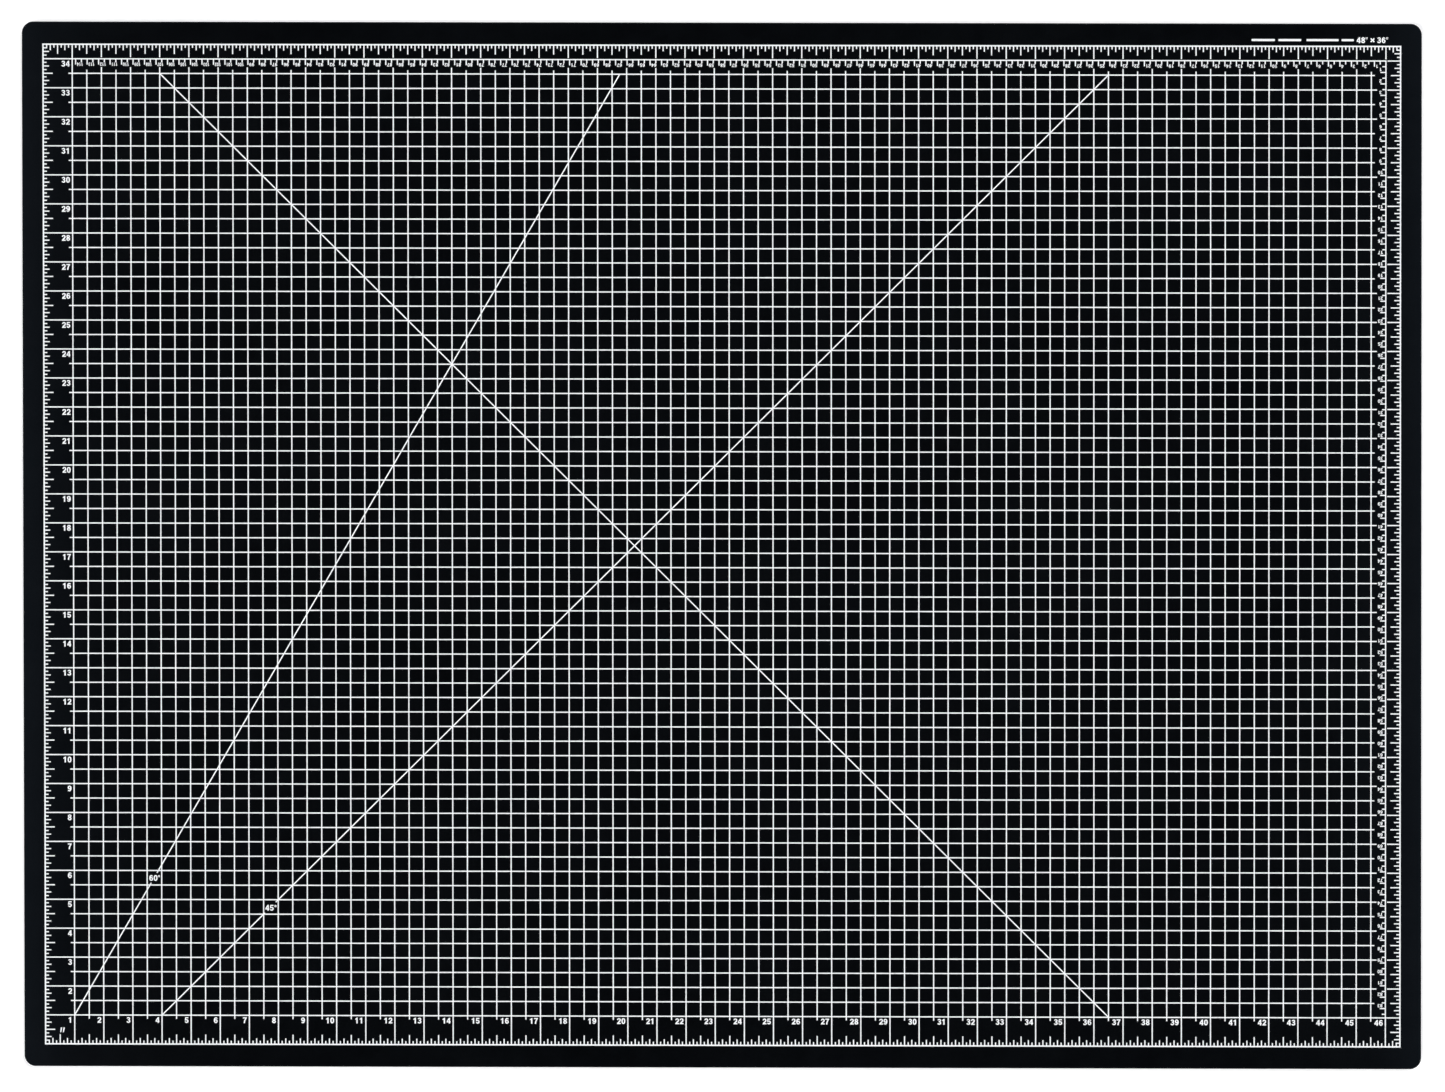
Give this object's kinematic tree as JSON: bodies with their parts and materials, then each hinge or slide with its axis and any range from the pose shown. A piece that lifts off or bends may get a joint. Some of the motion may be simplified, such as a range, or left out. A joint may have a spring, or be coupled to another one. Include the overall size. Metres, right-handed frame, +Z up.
{
  "type": "self healing cutting mat",
  "caption": "Flat laminated self-healing cutting mat with rounded corners, a half-inch grid, inch and centimetre edge rulers, and 45 and 60 degree angle lines.",
  "frame": {"origin": "centre of the underside", "axes": "+X along the long side towards the end of the inch ruler, +Y along the short side away from the inch ruler's zero, +Z up out of the printed face"},
  "size_m": [1.218, 0.9154, 0.003],
  "materials": {
    "skin": "fine matt embossed soft PVC, near black with a faint blue tint",
    "tie": "charcoal PVC, seen only at the die-cut edge",
    "core": "dark grey rigid PVC, seen only at the die-cut edge",
    "ink": "white screen ink, satin"
  },
  "bodies": {
    "root": {"bottom_healing_skin": "skin", "lower_tie_ply": "tie", "rigid_core_ply": "core", "upper_tie_ply": "tie", "top_healing_skin": "skin", "inch_scale_bottom": "ink", "inch_scale_left": "ink", "inch_scale_top": "ink", "inch_scale_right": "ink", "centimetre_scale_top": "ink", "centimetre_scale_right": "ink", "inch_lines_crosswise": "ink", "half_inch_lines_crosswise": "ink", "inch_lines_lengthwise": "ink", "half_inch_lines_lengthwise": "ink", "angle_line_45_rising": "ink", "angle_line_45_falling": "ink", "angle_line_60": "ink", "angle_label_45": "ink", "angle_label_60": "ink", "inch_numerals_bottom": "ink", "inch_numerals_left": "ink", "centimetre_numerals_top": "ink", "centimetre_numerals_right": "ink", "inch_unit_mark": "ink", "size_numerals": "ink", "blank_label_dashes": "ink"}
  },
  "joints": []
}
